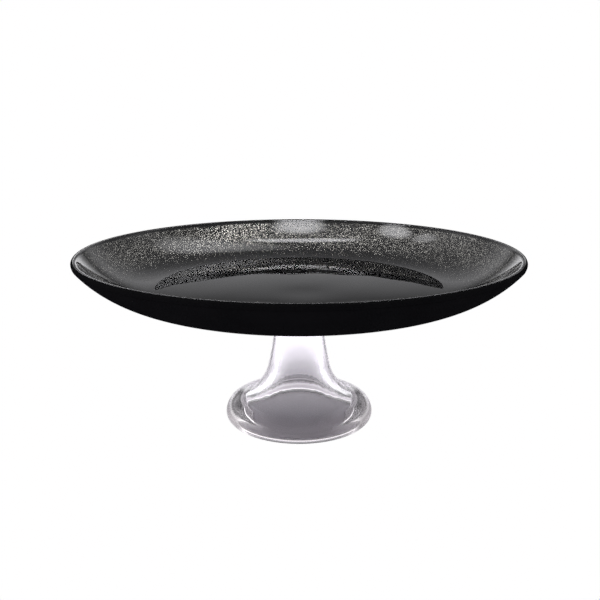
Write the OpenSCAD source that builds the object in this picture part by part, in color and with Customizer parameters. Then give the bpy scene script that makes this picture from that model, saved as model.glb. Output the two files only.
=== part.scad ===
// Footed glass cake stand: a shallow glass dish, coated on its underside with
// glitter and black lacquer, bonded on top of a hollow clear glass foot.
// Millimetres, +Z up. The origin is on the table, on the axis of symmetry.

/* [Stand] */
// Diameter of the dish's glass over its rim
plate_d = 300; // [280:1:320]
// Height of the rim above the table
stand_h = 122; // [110:1:150]

/* [Dish] */
// Thickness of the dish's glass, which is also the diameter of its rounded lip
glass_t = 4; // [3:0.1:6]
// Radius of the dish's level middle
level_r = 12; // [8:1:16]
// Radius of curvature of the well around the level middle, on the underside
well_curve_r = 970; // [950:5:1000]
// Slope in degrees at which the well turns into the wall
well_slope = 5.1; // [4.9:0.1:5.4]
// Radius of curvature of the wall, on the underside
wall_curve_r = 76; // [74:0.5:90]

/* [Coats and bond] */
// Thickness of the glitter coat
glitter_t = 0.2; // [0.1:0.05:0.3]
// Thickness of the whole coat, glitter and lacquer together
coat_t = 0.5; // [0.4:0.05:0.8]
// Radius at which the glitter coat begins; it runs out to the lip
glitter_r = 104; // [99:1:130]
// Thickness of the clear adhesive between the lacquer and the foot
bond_t = 0.3; // [0.1:0.05:0.5]

/* [Foot] */
// Largest diameter of the foot
foot_d = 104; // [103:0.5:110]
// Radius of the foot's rounded lower edge
edge_r = 6; // [5:0.25:6.25]
// Radius of the convex shoulder above the edge
shoulder_r = 10.5; // [9:0.5:11.5]
// Radius of the hollow curve between shoulder and stem
flare_r = 31.5; // [28:0.5:34]
// Slope from upright, in degrees, where the shoulder meets the flare
flare_slope = 75; // [70:1:80]
// Slope from upright, in degrees, where the flare meets the stem
stem_slope = 12.5; // [10:0.5:15]
// Thickness of the stem's and the flare's wall
foot_wall = 7; // [6.5:0.25:8]
// Radius of the foot's open mouth on the table
mouth_r = 40; // [39:0.25:40.5]
// Radius of the turn inside the shoulder
turn_r = 7.5; // [7:0.25:11]
// Thickness of the solid glass over the bore
cap_t = 8; // [6:1:15]

/* [Hidden] */

turn_fn = 180;      // facets of one turn in the preview
arc_step = 4;       // most degrees between the points along a drawn arc
lacquer_end = 150;  // where the lacquer ends around the lip, in degrees from below
below_table = -5;   // where the hollow's cutter ends

clear_glass = [0.93, 0.91, 0.95, 0.45];
glitter_silver = [0.74, 0.74, 0.76];
lacquer_black = [0.03, 0.03, 0.03];
adhesive_clear = [0.85, 0.85, 0.85, 0.6];

// A point at distance r from centre c. The angle is measured from straight down
// towards the outside, so 0 is below the centre, 90 outside it and 180 above it.
function polar(c, r, angle) = c + r * [sin(angle), -cos(angle)];

// Points along an arc about centre c, from angle a to angle b.
function arc(c, r, a, b) =
    let (count = max(2, ceil(abs(b - a) / arc_step)))
    [for (i = [0:count]) polar(c, r, a + (b - a) * i / count)];

function reversed(points) = [for (i = [len(points) - 1:-1:0]) points[i]];

// The dish's section is one line, level, then curved gently, then curved up. It is
// drawn at any offset above the glass's underside, with all offsets about the same
// two centres, which are given here relative to the level middle of the underside.
well_centre = [level_r, well_curve_r];
wall_centre = polar(well_centre, well_curve_r - wall_curve_r, well_slope);
lip_r = glass_t / 2;
lip_slope = asin((plate_d / 2 - lip_r - wall_centre[0]) / (wall_curve_r - lip_r));
lip_centre = polar(wall_centre, wall_curve_r - lip_r, lip_slope);
plate_h = lip_centre[1] + lip_r;

// Heights from the table up: foot, bond, coat, dish.
foot_h = stand_h - plate_h - coat_t - bond_t;
underside_z = stand_h - plate_h;

// Slope of the wall where it has reached radius r, on the glass's underside.
function wall_slope(r) = asin((r - wall_centre[0]) / wall_curve_r);

function wall_line(offset, from_slope) =
    arc(wall_centre, wall_curve_r - offset, from_slope, lip_slope);

function dish_line(offset) = concat(
    [[0, offset]],
    arc(well_centre, well_curve_r - offset, 0, well_slope),
    wall_line(offset, well_slope)
);

// The foot's outside, from its top edge down to the table: stem, flare, shoulder, edge.
// The stem is upright at its top and takes up the height that the rest leaves.
foot_r = foot_d / 2;
shoulder_centre = [foot_r - shoulder_r, edge_r];
flare_centre = shoulder_centre + (shoulder_r + flare_r) * [cos(flare_slope), sin(flare_slope)];
stem_rise = foot_h - flare_centre[1] + flare_r * sin(stem_slope);
stem_curve_r = stem_rise / sin(stem_slope);
stem_centre = flare_centre + (stem_curve_r - flare_r) * [cos(stem_slope), sin(stem_slope)];
foot_top_r = stem_centre[0] - stem_curve_r;

foot_outline = concat(
    [[0, foot_h]],
    arc(stem_centre, stem_curve_r, 270, 270 + stem_slope),
    arc(flare_centre, flare_r, 270 + stem_slope, 270 + flare_slope),
    arc(shoulder_centre, shoulder_r, 90 + flare_slope, 90),
    arc([foot_r - edge_r, edge_r], edge_r, 90, 0),
    [[0, 0]]
);

// The hollow: a domed bore, the flare's inside, a tight turn and a rounded mouth. The
// dome is a sphere on the axis that touches both the bore and the glass left over it.
// The turn is tangent to the flare's inside and upright where it meets the mouth's
// rounding, which takes up the height that is left down to the table.
bore_curve_r = stem_curve_r + foot_wall;
bore_slope = 90 - 2 * atan((bore_curve_r - cap_t) / stem_centre[0]);
dome_r = stem_centre[0] / cos(bore_slope) - bore_curve_r;
dome_centre = [0, foot_h - cap_t - dome_r];
flare_inner_r = flare_r + foot_wall;
turn_slope = acos((flare_centre[0] + turn_r - mouth_r) / (flare_inner_r + turn_r));
turn_centre = [
    mouth_r - turn_r,
    flare_centre[1] - (flare_inner_r + turn_r) * sin(turn_slope)
];
mouth_fillet_r = turn_centre[1];

hollow_outline = concat(
    arc(dome_centre, dome_r, 180, 90 + bore_slope),
    arc(stem_centre, bore_curve_r, 270 + bore_slope, 270 + stem_slope),
    arc(flare_centre, flare_inner_r, 270 + stem_slope, 270 + turn_slope),
    arc(turn_centre, turn_r, 90 + turn_slope, 90),
    arc([mouth_r + mouth_fillet_r, mouth_fillet_r], mouth_fillet_r, 270, 360),
    [[mouth_r + mouth_fillet_r, below_table], [0, below_table]]
);

module turned(outline) {
    rotate_extrude($fn = turn_fn) polygon(outline);
}

module plate_glass() {
    color(clear_glass)
        translate([0, 0, underside_z])
            turned(concat(
                dish_line(0),
                arc(lip_centre, lip_r, lip_slope, lip_slope + 180),
                reversed(dish_line(glass_t))
            ));
}

module glitter_coat() {
    color(glitter_silver)
        translate([0, 0, underside_z])
            turned(concat(
                wall_line(0, wall_slope(glitter_r)),
                reversed(wall_line(-glitter_t, wall_slope(glitter_r)))
            ));
}

// The lacquer is carried on around the outside of the lip, nearly up to its top.
module black_lacquer() {
    color(lacquer_black)
        translate([0, 0, underside_z])
            turned(concat(
                dish_line(-coat_t),
                arc(lip_centre, lip_r + coat_t - glitter_t, lip_slope, lacquer_end),
                reversed(arc(lip_centre, lip_r, lip_slope, lacquer_end)),
                reversed(wall_line(-glitter_t, wall_slope(glitter_r))),
                reversed(arc(wall_centre, wall_curve_r, well_slope, wall_slope(glitter_r))),
                reversed(arc(well_centre, well_curve_r, 0, well_slope)),
                [[0, 0]]
            ));
}

module bond_disc() {
    color(adhesive_clear)
        translate([0, 0, foot_h])
            cylinder(r = foot_top_r, h = bond_t, $fn = turn_fn);
}

module foot() {
    color(clear_glass)
        difference() {
            turned(foot_outline);
            turned(hollow_outline);
        }
}

plate_glass();
glitter_coat();
black_lacquer();
bond_disc();
foot();
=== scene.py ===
"""Looks for the footed glass cake stand: a clear glass dish, coated underneath with glitter
and black lacquer, on a hollow clear glass foot. Everything is turned about the Z axis.

The sections are drawn in millimetres, with the same arcs as the CAD model but in finer
steps, and turned into smooth meshes in metres.
"""

import math

import bmesh
import bpy
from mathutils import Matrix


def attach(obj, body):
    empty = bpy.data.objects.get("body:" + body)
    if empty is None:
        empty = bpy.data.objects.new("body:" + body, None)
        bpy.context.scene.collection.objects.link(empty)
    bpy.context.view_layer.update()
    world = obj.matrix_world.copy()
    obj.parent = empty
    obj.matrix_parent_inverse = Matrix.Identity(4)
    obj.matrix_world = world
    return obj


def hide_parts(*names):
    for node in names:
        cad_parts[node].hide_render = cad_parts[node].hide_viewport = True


MM = 0.001

# Driving sizes of the CAD model, in millimetres and degrees.
PLATE_D = 300
STAND_H = 122
GLASS_T = 4
LEVEL_R = 12
WELL_CURVE_R = 970
WELL_SLOPE = 5.1
WALL_CURVE_R = 76
GLITTER_T = 0.2
COAT_T = 0.5
GLITTER_R = 104
LACQUER_END = 150    # where the lacquer ends around the lip, in degrees from below
BOND_T = 0.3
FOOT_D = 104
EDGE_R = 6
SHOULDER_R = 10.5
FLARE_R = 31.5
FLARE_SLOPE = 75
STEM_SLOPE = 12.5
FOOT_WALL = 7
MOUTH_R = 40
TURN_R = 7.5
CAP_T = 8

TURN_STEPS = 288     # points around one turn
CONTACT = 0.03       # how far a coat or the bond reaches into its neighbour, so no air shows

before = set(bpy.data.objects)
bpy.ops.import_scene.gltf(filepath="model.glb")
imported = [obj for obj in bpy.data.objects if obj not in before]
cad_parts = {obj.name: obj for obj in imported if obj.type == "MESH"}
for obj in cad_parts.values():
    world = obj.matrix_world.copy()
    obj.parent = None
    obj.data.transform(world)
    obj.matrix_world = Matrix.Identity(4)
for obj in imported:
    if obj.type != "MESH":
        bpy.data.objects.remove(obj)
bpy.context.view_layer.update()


# ---- Sections ---------------------------------------------------------------


def sin(degrees):
    return math.sin(math.radians(degrees))


def cos(degrees):
    return math.cos(math.radians(degrees))


def polar(centre, radius, angle):
    """A point at that angle from straight down, towards the outside, about centre."""
    return (centre[0] + radius * sin(angle), centre[1] - radius * cos(angle))


def arc(centre, radius, start, end, step=1.5):
    count = max(2, math.ceil(abs(end - start) / step))
    return [polar(centre, radius, start + (end - start) * i / count) for i in range(count + 1)]


def raised(outline, height):
    return [(r, z + height) for r, z in outline]


well_centre = (LEVEL_R, WELL_CURVE_R)
wall_centre = polar(well_centre, WELL_CURVE_R - WALL_CURVE_R, WELL_SLOPE)
lip_r = GLASS_T / 2
lip_slope = math.degrees(
    math.asin((PLATE_D / 2 - lip_r - wall_centre[0]) / (WALL_CURVE_R - lip_r))
)
lip_centre = polar(wall_centre, WALL_CURVE_R - lip_r, lip_slope)
underside_z = STAND_H - lip_centre[1] - lip_r
foot_h = underside_z - COAT_T - BOND_T


def wall_slope(radius):
    return math.degrees(math.asin((radius - wall_centre[0]) / WALL_CURVE_R))


def wall_line(offset, from_slope):
    return arc(wall_centre, WALL_CURVE_R - offset, from_slope, lip_slope, step=0.75)


def dish_line(offset):
    level = [(LEVEL_R * i / 3, offset) for i in range(3)]
    well = arc(well_centre, WELL_CURVE_R - offset, 0, WELL_SLOPE, step=0.15)
    return level + well + wall_line(offset, WELL_SLOPE)


def dish_section():
    lip = arc(lip_centre, lip_r, lip_slope, lip_slope + 180, step=6)
    return raised(dish_line(0) + lip + dish_line(GLASS_T)[::-1], underside_z)


def glitter_section():
    start = wall_slope(GLITTER_R)
    outline = wall_line(CONTACT, start) + wall_line(-GLITTER_T, start)[::-1]
    return raised(outline, underside_z)


def lacquer_section():
    """From the middle out and around the lip; under the glitter it starts below the glitter."""
    start = wall_slope(GLITTER_R)
    bare_well = arc(well_centre, WELL_CURVE_R - CONTACT, 0, WELL_SLOPE, step=0.15)
    bare_wall = arc(wall_centre, WALL_CURVE_R - CONTACT, WELL_SLOPE, start, step=0.75)
    covered_wall = wall_line(-GLITTER_T, start)
    on_lip = arc(lip_centre, lip_r - CONTACT, lip_slope, LACQUER_END, step=6)
    outside = arc(lip_centre, lip_r + COAT_T - GLITTER_T, lip_slope, LACQUER_END, step=6)
    top = [(0, CONTACT)] + bare_well + bare_wall + covered_wall + on_lip
    return raised(dish_line(-COAT_T) + outside + top[::-1], underside_z)


foot_r = FOOT_D / 2
shoulder_centre = (foot_r - SHOULDER_R, EDGE_R)
flare_centre = (
    shoulder_centre[0] + (SHOULDER_R + FLARE_R) * cos(FLARE_SLOPE),
    shoulder_centre[1] + (SHOULDER_R + FLARE_R) * sin(FLARE_SLOPE),
)
stem_rise = foot_h - flare_centre[1] + FLARE_R * sin(STEM_SLOPE)
stem_curve_r = stem_rise / sin(STEM_SLOPE)
stem_centre = (
    flare_centre[0] + (stem_curve_r - FLARE_R) * cos(STEM_SLOPE),
    flare_centre[1] + (stem_curve_r - FLARE_R) * sin(STEM_SLOPE),
)
foot_top_r = stem_centre[0] - stem_curve_r


def foot_outside():
    stem = arc(stem_centre, stem_curve_r, 270, 270 + STEM_SLOPE, step=0.5)
    flare = arc(flare_centre, FLARE_R, 270 + STEM_SLOPE, 270 + FLARE_SLOPE)
    shoulder = arc(shoulder_centre, SHOULDER_R, 90 + FLARE_SLOPE, 90, step=3)
    edge = arc((foot_r - EDGE_R, EDGE_R), EDGE_R, 90, 0, step=4)
    return [(0, foot_h)] + stem + flare + shoulder + edge


def foot_hollow():
    bore_curve_r = stem_curve_r + FOOT_WALL
    bore_slope = 90 - 2 * math.degrees(math.atan((bore_curve_r - CAP_T) / stem_centre[0]))
    dome_r = stem_centre[0] / cos(bore_slope) - bore_curve_r
    dome_centre = (0, foot_h - CAP_T - dome_r)
    flare_inner_r = FLARE_R + FOOT_WALL
    turn_cos = (flare_centre[0] + TURN_R - MOUTH_R) / (flare_inner_r + TURN_R)
    turn_slope = math.degrees(math.acos(turn_cos))
    turn_centre = (
        MOUTH_R - TURN_R,
        flare_centre[1] - (flare_inner_r + TURN_R) * sin(turn_slope),
    )
    dome = arc(dome_centre, dome_r, 180, 90 + bore_slope, step=5)
    bore = arc(stem_centre, bore_curve_r, 270 + bore_slope, 270 + STEM_SLOPE, step=0.5)
    flare = arc(flare_centre, flare_inner_r, 270 + STEM_SLOPE, 270 + turn_slope)
    turn = arc(turn_centre, TURN_R, 90 + turn_slope, 90, step=4)
    fillet_r = turn_centre[1]
    fillet = arc((MOUTH_R + fillet_r, fillet_r), fillet_r, 270, 360, step=4)
    return dome + bore + flare + turn + fillet


def foot_section():
    return foot_outside() + foot_hollow()[::-1]


def bond_section():
    low = foot_h - CONTACT
    high = foot_h + BOND_T + CONTACT
    return [(0, low), (foot_top_r - CONTACT, low), (foot_top_r - CONTACT, high), (0, high)]


# The pressed glass isn't quite true. Each of the dish's waves has a height, and the lengths
# along X and Y over which it advances by one radian.
SLOW_WAVE = (0.02, 12, 16)
SLOW_WAVE_PHASE = 1
FINE_WAVE = (0.008, 7, 10)
WAVES_END_R = 130
WAVES_FADE = 40
FLUTES = ((0.02, 13, 0), (0.01, 31, 1))    # depth, number around a turn, phase
FLUTES_FULL_R = 10
FLUTES_FULL_Z = 8

dish_top = set(raised(dish_line(GLASS_T), underside_z))
hollow_points = set(foot_hollow())


def no_ripple(r, z, angle):
    return 0, 0


def dish_ripple(r, z, angle):
    """Slow waves in the dish's top surface, which fade out below the lip."""
    if (r, z) not in dish_top:
        return 0, 0
    x = r * math.cos(angle)
    y = r * math.sin(angle)
    height, along_x, along_y = SLOW_WAVE
    slow = height * math.sin(x / along_x + SLOW_WAVE_PHASE) * math.cos(y / along_y)
    height, along_x, along_y = FINE_WAVE
    fine = height * math.sin(x / along_x - y / along_y)
    return 0, (slow + fine) * min(1, max(0, (WAVES_END_R - r) / WAVES_FADE))


def foot_ripple(r, z, angle):
    """Faint flutes down the hollow, which fade out at its closed top and at the table."""
    if (r, z) not in hollow_points:
        return 0, 0
    depth = sum(size * math.sin(number * angle + phase) for size, number, phase in FLUTES)
    return depth * min(1, r / FLUTES_FULL_R) * min(1, z / FLUTES_FULL_Z), 0


# ---- Meshes -----------------------------------------------------------------


NO_LENGTH = 1e-4     # in millimetres: points closer than this are one point


def spaced(outline):
    """The outline without points that repeat the one before."""
    kept = [outline[0]]
    for point in outline[1:]:
        if math.dist(point, kept[-1]) > NO_LENGTH:
            kept.append(point)
    return kept


def turned(name, outline, nodes, material, ripple=no_ripple):
    """A closed section turned about Z into a smooth solid, with ripple(r, z, angle) giving
    a small change of each point's radius and height in millimetres."""
    mesh = bpy.data.meshes.new(name)
    piece = bpy.data.objects.new(name, mesh)
    bpy.context.scene.collection.objects.link(piece)
    shape = bmesh.new()
    rings = []
    for r, z in spaced(outline):
        if r < NO_LENGTH:
            dr, dz = ripple(0, z, 0)
            rings.append([shape.verts.new((0, 0, (z + dz) * MM))])
            continue
        ring = []
        for i in range(TURN_STEPS):
            angle = 2 * math.pi * i / TURN_STEPS
            dr, dz = ripple(r, z, angle)
            x = (r + dr) * math.cos(angle)
            y = (r + dr) * math.sin(angle)
            ring.append(shape.verts.new((x * MM, y * MM, (z + dz) * MM)))
        rings.append(ring)
    for low, high in zip(rings, rings[1:] + rings[:1]):
        if len(low) == 1 and len(high) == 1:
            continue
        for i in range(TURN_STEPS):
            j = (i + 1) % TURN_STEPS
            if len(low) == 1:
                shape.faces.new((low[0], high[i], high[j]))
            elif len(high) == 1:
                shape.faces.new((low[i], high[0], low[j]))
            else:
                shape.faces.new((low[i], high[i], high[j], low[j]))
    bmesh.ops.recalc_face_normals(shape, faces=shape.faces)
    shape.to_mesh(mesh)
    shape.free()
    for face in mesh.polygons:
        face.use_smooth = True
    mesh.materials.append(material)
    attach(piece, "root")
    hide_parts(*nodes)


# ---- Materials --------------------------------------------------------------


def principled(name, colour, roughness, **sockets):
    material = bpy.data.materials.new(name)
    material.use_nodes = True
    shader = material.node_tree.nodes["Principled BSDF"]
    shader.inputs["Base Color"].default_value = (*colour, 1)
    shader.inputs["Roughness"].default_value = roughness
    for socket, value in sockets.items():
        shader.inputs[socket.replace("_", " ")].default_value = value
    return material, shader


def place_on_object(tree):
    return tree.nodes.new("ShaderNodeTexCoord").outputs["Object"]


def distance_from_axis(tree):
    """The shaded point's distance from the Z axis, in metres."""
    split = tree.nodes.new("ShaderNodeSeparateXYZ")
    tree.links.new(place_on_object(tree), split.inputs[0])
    flat = tree.nodes.new("ShaderNodeCombineXYZ")
    tree.links.new(split.outputs["X"], flat.inputs["X"])
    tree.links.new(split.outputs["Y"], flat.inputs["Y"])
    length = tree.nodes.new("ShaderNodeVectorMath")
    length.operation = "LENGTH"
    tree.links.new(flat.outputs[0], length.inputs[0])
    return length.outputs["Value"]


def share_between(tree, value, start, end, most=1):
    """0 where value is start, most where it is end, and even in between."""
    node = tree.nodes.new("ShaderNodeMapRange")
    node.inputs["From Min"].default_value = start
    node.inputs["From Max"].default_value = end
    node.inputs["To Max"].default_value = most
    tree.links.new(value, node.inputs["Value"])
    return node.outputs["Result"]


def level_at(tree, value, stops):
    """The level that the (position, level) stops give at that value."""
    ramp = tree.nodes.new("ShaderNodeValToRGB")
    elements = ramp.color_ramp.elements
    for index, (position, level) in enumerate(stops):
        stop = elements[index] if index < 2 else elements.new(position)
        stop.position = position
        stop.color = (level, level, level, 1)
    tree.links.new(value, ramp.inputs["Fac"])
    return ramp.outputs["Color"]


def blended_colour(tree, share, first, second):
    """The first colour where share is 0, and the second where it is 1."""
    tone = tree.nodes.new("ShaderNodeMix")
    tone.data_type = "RGBA"
    share_socket, first_socket, second_socket = tone.inputs[0], tone.inputs[6], tone.inputs[7]
    first_socket.default_value = (*first, 1)
    second_socket.default_value = (*second, 1)
    tree.links.new(share, share_socket)
    return tone.outputs[2]


GLASS_IOR = 1.5


def clear_glass(name, colour):
    return principled(name, colour, 0.0, Transmission_Weight=1.0, IOR=GLASS_IOR)


CLEAR = (1.0, 1.0, 1.0)
LILAC = (0.985, 0.98, 0.99)
WARM_LILAC = (0.97, 0.92, 0.925)
WARM_FROM_R = 42
SPRAY_PATCH = 25    # size of the sprayed lacquer's clouds
LACQUER_BLACK = (0.006, 0.006, 0.0065)
LACQUER_DARKEST = (0.0045, 0.0045, 0.005)
LACQUER_GREYEST = (0.0075, 0.0075, 0.008)


def foot_glass_material():
    """Clear with a lilac cast, which turns warmer towards the foot's thick edge."""
    material, shader = clear_glass("foot_glass", LILAC)
    tree = material.node_tree
    outward = share_between(tree, distance_from_axis(tree), WARM_FROM_R * MM, foot_r * MM)
    tree.links.new(blended_colour(tree, outward, LILAC, WARM_LILAC), shader.inputs["Base Color"])
    return material


def lacquer_material():
    """Sprayed matte black, a little greyer in places."""
    material, shader = principled("lacquer", LACQUER_BLACK, 0.9, Specular_IOR_Level=0.0)
    tree = material.node_tree
    cloud = tree.nodes.new("ShaderNodeTexNoise")
    cloud.inputs["Scale"].default_value = 1 / (SPRAY_PATCH * MM)
    tree.links.new(place_on_object(tree), cloud.inputs["Vector"])
    tone = blended_colour(tree, cloud.outputs["Fac"], LACQUER_DARKEST, LACQUER_GREYEST)
    tree.links.new(tone, shader.inputs["Base Color"])
    return material


FLAKE_SIZE = 0.42
FLAKE_SLANT = 0.3    # spread of the leans along each axis, next to a normal of length 1
FLAKE_SILVER = (0.48, 0.47, 0.43)
BETWEEN_FLAKES = (0.008, 0.008, 0.009)

# The share of cells that hold a flake, by radius: thick on the wall, thin towards the well.
FLAKE_SHARES = (
    (GLITTER_R, 0.0),
    (111, 0.03),
    (119, 0.07),
    (126, 0.19),
    (138, 0.27),
    (PLATE_D / 2, 0.21),
)


def glitter_material():
    """Cells that are either a silver flake at its own slant or the dark between flakes."""
    material, shader = principled("glitter", (0.01, 0.01, 0.01), 0.22, Specular_IOR_Level=0.0)
    tree = material.node_tree
    new = tree.nodes.new
    link = tree.links.new

    def vector_math(operation, first, second):
        node = new("ShaderNodeVectorMath")
        node.operation = operation
        link(first, node.inputs[0])
        if isinstance(second, tuple):
            node.inputs[1].default_value = second
        else:
            link(second, node.inputs[1])
        return node.outputs[0]

    cells = new("ShaderNodeTexVoronoi")
    cells.inputs["Scale"].default_value = 1 / (FLAKE_SIZE * MM)
    link(place_on_object(tree), cells.inputs["Vector"])
    random_vector = cells.outputs["Color"]

    first_r = FLAKE_SHARES[0][0]
    last_r = FLAKE_SHARES[-1][0]
    width = last_r - first_r
    outward = share_between(tree, distance_from_axis(tree), first_r * MM, last_r * MM)
    stops = [((radius - first_r) / width, share) for radius, share in FLAKE_SHARES]
    parts = new("ShaderNodeSeparateColor")
    link(random_vector, parts.inputs["Color"])
    is_flake = new("ShaderNodeMath")
    is_flake.operation = "LESS_THAN"
    link(parts.outputs["Red"], is_flake.inputs[0])
    link(level_at(tree, outward, stops), is_flake.inputs[1])

    centred = vector_math("SUBTRACT", random_vector, (0.5, 0.5, 0.5))
    slant = vector_math("MULTIPLY", centred, (FLAKE_SLANT, FLAKE_SLANT, FLAKE_SLANT))
    slanted = vector_math("ADD", new("ShaderNodeNewGeometry").outputs["Normal"], slant)
    unit = new("ShaderNodeVectorMath")
    unit.operation = "NORMALIZE"
    link(slanted, unit.inputs[0])
    link(unit.outputs[0], shader.inputs["Normal"])

    tone = blended_colour(tree, is_flake.outputs[0], BETWEEN_FLAKES, FLAKE_SILVER)
    link(tone, shader.inputs["Base Color"])
    link(is_flake.outputs[0], shader.inputs["Metallic"])
    return material


# Painted light on the floor: its emission strength rises along Y from the front of the stand to
# behind it.
FLOOR_PAINTED_GLOW = 0.55
PAINTED_GLOW_FROM_Y = -0.02
PAINTED_GLOW_FULL_Y = 0.2


def floor_material():
    """Pale, with a painted glow that rises from in front of the stand to behind it, standing in for
    light falling on the floor there.
    """
    material, shader = principled("floor", (0.93, 0.89, 0.96), 0.7)
    shader.inputs["Emission Color"].default_value = (0.98, 0.95, 1, 1)
    tree = material.node_tree
    split = tree.nodes.new("ShaderNodeSeparateXYZ")
    tree.links.new(place_on_object(tree), split.inputs[0])
    # Painted glow, brighter behind the stand.
    painted_glow = share_between(tree, split.outputs["Y"], PAINTED_GLOW_FROM_Y, PAINTED_GLOW_FULL_Y, FLOOR_PAINTED_GLOW)
    tree.links.new(painted_glow, shader.inputs["Emission Strength"])
    return material


# ---- The stand --------------------------------------------------------------

dish_glass, _ = clear_glass("dish_glass", CLEAR)
adhesive, _ = clear_glass("adhesive", CLEAR)
foot_glass = foot_glass_material()

turned("dish", dish_section(), ["plate_glass"], dish_glass, dish_ripple)
turned("glitter_layer", glitter_section(), ["glitter_coat"], glitter_material())
turned("lacquer_layer", lacquer_section(), ["black_lacquer"], lacquer_material())
turned("bond", bond_section(), ["bond_disc"], adhesive)
turned("pedestal", foot_section(), ["foot"], foot_glass, foot_ripple)


# ---- Floor, light and camera -------------------------------------------------

FLOOR_SIZE = 3.0
FLOOR_GAP = 0.0003

floor_mesh = bpy.data.meshes.new("floor")
floor_half = FLOOR_SIZE / 2
floor_corners = [
    (x * floor_half, y * floor_half, -FLOOR_GAP) for x, y in ((-1, -1), (1, -1), (1, 1), (-1, 1))
]
floor_mesh.from_pydata(floor_corners, [], [(0, 1, 2, 3)])
floor = bpy.data.objects.new("floor", floor_mesh)
bpy.context.scene.collection.objects.link(floor)
floor_mesh.materials.append(floor_material())
floor.visible_camera = False

# Brightness of the surround by elevation in degrees.
BEHIND = (
    (-90, 1.3),
    (5, 1.3),
    (9, 0.5),
    (12, 0.13),
    (15, 0.37),
    (18, 0.58),
    (30, 0.3),
    (60, 0.2),
    (90, 0.5),
)
BESIDE = ((-90, 1.2), (30, 1.2), (55, 0.3), (90, 0.5))
BEFORE = ((-90, 0.2), (60, 0.15), (90, 0.5))

# Where the surround behind passes into that beside, and that into the one before, by the Y of
# the unit direction.
BEHIND_TO_BESIDE = (0.75, 0.35)
BESIDE_TO_BEFORE = (-0.2, -0.7)

# The surround is brighter on the left: two values of the direction's X, and the factors there.
LEFT_TO_RIGHT = (-0.5, 0.1, 1.35, 0.95)

# A lamp is brightest in its middle. Its light dies out where the square of the distance from
# there, counted in half widths and half heights, reaches this.
LAMP_END = 1.6

# Soft lamps far off: azimuth (0 behind, 90 right), elevation, half width, half height, all in
# degrees, and brightness.
LAMPS = (
    (180, 80, 8, 14, 8),
    (-3, 73, 11, 4, 5.5),
    (29, 56, 14, 10, 1.6),
    (-50, 53, 6, 4, 2.4),
    (-72, 62, 10, 5, 5.5),
)


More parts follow.
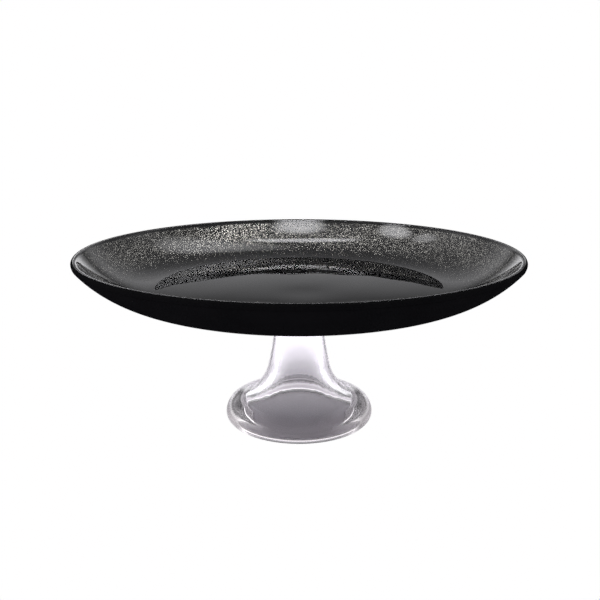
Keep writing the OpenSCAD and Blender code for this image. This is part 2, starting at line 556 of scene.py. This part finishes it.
def studio_world():
    """White to the camera. What the stand mirrors and is lit by is the studio around it."""
    world = bpy.data.worlds.new("studio")
    bpy.context.scene.world = world
    world.use_nodes = True
    tree = world.node_tree
    new = tree.nodes.new
    link = tree.links.new
    direction = new("ShaderNodeTexCoord").outputs["Generated"]
    split = new("ShaderNodeSeparateXYZ")
    link(direction, split.inputs[0])

    def fill(socket, value):
        if isinstance(value, (int, float)):
            socket.default_value = value
        else:
            link(value, socket)

    def ranged(value, low, high, to_low, to_high, smooth=True):
        node = new("ShaderNodeMapRange")
        node.interpolation_type = "SMOOTHSTEP" if smooth else "LINEAR"
        for socket, number in zip(node.inputs, (value, low, high, to_low, to_high)):
            fill(socket, number)
        return node.outputs["Result"]

    def calculated(operation, *values):
        node = new("ShaderNodeMath")
        node.operation = operation
        for socket, value in zip(node.inputs, values):
            fill(socket, value)
        return node.outputs[0]

    def mixed(share, first, second):
        node = new("ShaderNodeMix")
        fill(node.inputs[0], share)
        fill(node.inputs[2], first)
        fill(node.inputs[3], second)
        return node.outputs[0]

    def along(vector):
        node = new("ShaderNodeVectorMath")
        node.operation = "DOT_PRODUCT"
        link(direction, node.inputs[0])
        node.inputs[1].default_value = vector
        return node.outputs["Value"]

    height = ranged(split.outputs["Z"], -1, 1, 0, 1, smooth=False)

    def levels(stops):
        return level_at(tree, height, [((sin(degrees) + 1) / 2, level) for degrees, level in stops])

    from_behind = ranged(split.outputs["Y"], *BEHIND_TO_BESIDE, 0, 1)
    from_beside = ranged(split.outputs["Y"], *BESIDE_TO_BEFORE, 0, 1)
    beside = mixed(from_behind, levels(BEHIND), levels(BESIDE))
    around = mixed(from_beside, beside, levels(BEFORE))
    total = calculated("MULTIPLY", around, ranged(split.outputs["X"], *LEFT_TO_RIGHT))
    for azimuth, elevation, half_width, half_height, brightness in LAMPS:
        axis = (cos(elevation) * sin(azimuth), cos(elevation) * cos(azimuth), sin(elevation))
        rightward = (cos(azimuth), -sin(azimuth), 0)
        upward = (-sin(elevation) * sin(azimuth), -sin(elevation) * cos(azimuth), cos(elevation))
        across = calculated("DIVIDE", along(rightward), sin(half_width))
        up = calculated("DIVIDE", along(upward), sin(half_height))
        across_squared = calculated("MULTIPLY", across, across)
        up_squared = calculated("MULTIPLY", up, up)
        squares = calculated("ADD", across_squared, up_squared)
        spot = ranged(squares, LAMP_END, 0, 0, brightness)
        ahead = calculated("GREATER_THAN", along(axis), 0)
        total = calculated("ADD", total, calculated("MULTIPLY", spot, ahead))

    surround = tree.nodes["Background"]
    link(total, surround.inputs["Strength"])
    surround.inputs["Color"].default_value = (0.985, 0.985, 1.01, 1)
    seen = new("ShaderNodeBackground")
    seen.inputs["Color"].default_value = (1, 1, 1, 1)
    mix = new("ShaderNodeMixShader")
    link(new("ShaderNodeLightPath").outputs["Is Camera Ray"], mix.inputs["Fac"])
    link(surround.outputs[0], mix.inputs[1])
    link(seen.outputs[0], mix.inputs[2])
    link(mix.outputs[0], tree.nodes["World Output"].inputs["Surface"])


studio_world()

CAMERA_DISTANCE = 0.52
CAMERA_PITCH = 14.15
CAMERA_AIM_Z = 0.0864
CAMERA_LENS = 44.84
CAMERA_SHIFT = 0.0015

camera = bpy.data.cameras.new("camera")
camera.lens = CAMERA_LENS
camera.sensor_width = 36
camera.shift_x = CAMERA_SHIFT
camera.clip_start = 0.01
viewer = bpy.data.objects.new("camera", camera)
bpy.context.scene.collection.objects.link(viewer)
viewer.location = (
    0,
    -CAMERA_DISTANCE * cos(CAMERA_PITCH),
    CAMERA_AIM_Z + CAMERA_DISTANCE * sin(CAMERA_PITCH),
)
viewer.rotation_euler = (math.radians(90 - CAMERA_PITCH), 0, 0)

scene = bpy.context.scene
scene.camera = viewer
scene.view_settings.view_transform = "Standard"
# The default prefilter smears the glitter, and the normals add grain to its reflections.
scene.cycles.denoising_prefilter = "FAST"
scene.cycles.denoising_input_passes = "RGB_ALBEDO"
scene.cycles.max_bounces = 24
scene.cycles.transmission_bounces = 20
scene.cycles.glossy_bounces = 12
scene.cycles.caustics_refractive = True
